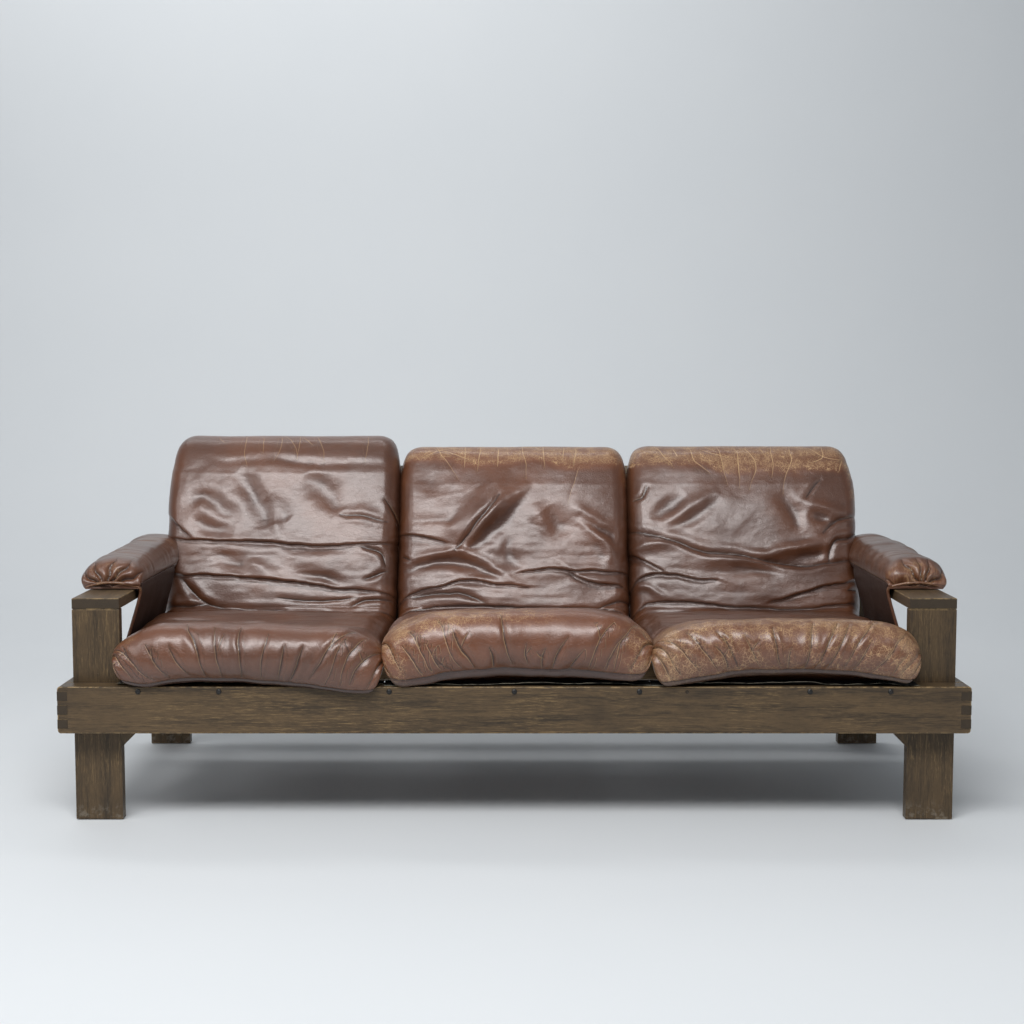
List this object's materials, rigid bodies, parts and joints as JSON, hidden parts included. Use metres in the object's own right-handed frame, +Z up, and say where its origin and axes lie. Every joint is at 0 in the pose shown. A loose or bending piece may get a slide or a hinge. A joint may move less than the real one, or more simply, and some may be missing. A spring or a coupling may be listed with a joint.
{
  "type": "worn leather sofa",
  "caption": "Long low sofa: a finger-jointed timber frame with plank legs and arm boards, carrying worn leather seat-and-back cushions and padded arms.",
  "frame": {"origin": "on the floor, below the middle of the sofa's box", "axes": "+X towards the sofa's right end as seen from the front, +Y towards its back, +Z up"},
  "size_m": [1.96, 0.884, 0.8008],
  "materials": {
    "timber": "dark stained, worn satin varnish",
    "deck_timber": "unfinished, dusty",
    "leather": "creased, semi-gloss, cracked to tan on the edges",
    "worn_leather": "creased, semi-gloss, cracked and rubbed to tan",
    "pad_leather": "rubbed, satin",
    "webbing": "matt woven",
    "steel": "dark, dull"
  },
  "bodies": {
    "root": {"front_rail": "timber", "rear_rail": "timber", "side_rail_left": "timber", "front_post_left": "timber", "rear_post_left": "timber", "arm_board_left": "timber", "front_gusset_left": "timber", "rear_gusset_left": "timber", "side_rail_right": "timber", "front_post_right": "timber", "rear_post_right": "timber", "arm_board_right": "timber", "front_gusset_right": "timber", "rear_gusset_right": "timber", "front_ledger": "deck_timber", "seat_cross_rail": "deck_timber", "back_stile_left": "deck_timber", "back_stile_right": "deck_timber", "back_rail_lower": "deck_timber", "back_rail_top": "deck_timber", "back_divider_left": "deck_timber", "back_divider_right": "deck_timber", "rail_screw_1": "steel", "rail_screw_2": "steel", "rail_screw_3": "steel", "rail_screw_4": "steel", "rail_screw_5": "steel", "rail_screw_6": "steel", "rail_screw_7": "steel", "seat_strap_left_1": "webbing", "seat_strap_left_2": "webbing", "seat_strap_left_3": "webbing", "seat_strap_left_4": "webbing", "back_strap_left_1": "webbing", "back_strap_left_2": "webbing", "seat_strap_middle_1": "webbing", "seat_strap_middle_2": "webbing", "seat_strap_middle_3": "webbing", "seat_strap_middle_4": "webbing", "back_strap_middle_1": "webbing", "back_strap_middle_2": "webbing", "seat_strap_right_1": "webbing", "seat_strap_right_2": "webbing", "seat_strap_right_3": "webbing", "seat_strap_right_4": "webbing", "back_strap_right_1": "webbing", "back_strap_right_2": "webbing", "cushion_left": "leather", "cushion_middle": "worn_leather", "cushion_right": "leather", "arm_pad_left": "pad_leather", "arm_flap_left": "pad_leather", "arm_pad_right": "pad_leather", "arm_flap_right": "pad_leather"}
  },
  "joints": []
}
